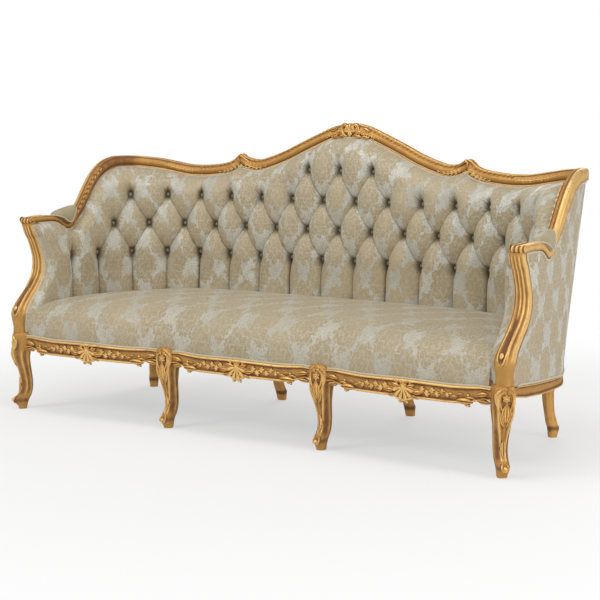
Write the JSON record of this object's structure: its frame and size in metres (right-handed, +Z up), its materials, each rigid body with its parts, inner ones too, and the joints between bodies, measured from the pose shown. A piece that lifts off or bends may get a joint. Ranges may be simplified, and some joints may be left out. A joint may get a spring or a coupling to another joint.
{
  "type": "cabriole sofa",
  "caption": "Gilt-framed cabriole sofa with a deep-buttoned back that wraps into the arms, a tight damask seat and carved cabriole legs.",
  "frame": {"origin": "on the floor, under the middle of the sofa's bounding box", "axes": "+X towards the sofa's left-hand arm as seen by someone facing it from the front (the viewer's right), +Y towards the back, +Z up"},
  "size_m": [2.175, 0.8345, 1.112],
  "materials": {
    "gilt_wood": "antiqued gilding over red bole on carved beech",
    "beech": "planed, unfinished",
    "steel": "bright wire and screws",
    "jute": "plain woven jute",
    "stuffing": "felted wadding",
    "damask": "satin damask, champagne figure on a pale silver-blue ground",
    "plain_cloth": "plain champagne satin",
    "gimp": "narrow cream gimp",
    "cambric": "black cambric"
  },
  "bodies": {
    "root": {"crest_rail_center": "gilt_wood", "crest_rail_left": "gilt_wood", "crest_rail_right": "gilt_wood", "arm_rail_left": "gilt_wood", "arm_rail_right": "gilt_wood", "arm_stump_left": "gilt_wood", "arm_stump_right": "gilt_wood", "front_leg_corner_left": "gilt_wood", "front_leg_corner_right": "gilt_wood", "front_leg_inner_left": "gilt_wood", "front_leg_inner_right": "gilt_wood", "rear_leg_corner_left": "gilt_wood", "rear_leg_corner_right": "gilt_wood", "rear_leg_inner_left": "gilt_wood", "rear_leg_inner_right": "gilt_wood", "front_rail_center": "gilt_wood", "front_rail_left": "gilt_wood", "front_rail_right": "gilt_wood", "side_rail_left": "gilt_wood", "side_rail_right": "gilt_wood", "rear_rail_center": "beech", "rear_rail_left": "beech", "rear_rail_right": "beech", "corner_post_left": "beech", "corner_post_right": "beech", "back_post_left": "beech", "back_post_right": "beech", "back_stay_rail": "beech", "arm_stay_rail_left": "beech", "arm_stay_rail_right": "beech", "cross_rail_left": "beech", "cross_rail_right": "beech", "corner_blocks": "beech", "frame_screws": "steel", "seat_springs": "steel", "spring_clips": "steel", "seat_hessian": "jute", "seat_stuffing": "stuffing", "seat_cover": "damask", "back_webbing": "jute", "back_stuffing": "stuffing", "inside_back_cover": "damask", "inside_arm_cover_left": "damask", "inside_arm_cover_right": "damask", "back_buttons": "damask", "outside_back_cover": "damask", "outside_arm_cover_left": "damask", "outside_arm_cover_right": "damask", "arm_pad_left": "plain_cloth", "arm_pad_right": "plain_cloth", "seat_gimp": "gimp", "dust_cover": "cambric"}
  },
  "joints": []
}
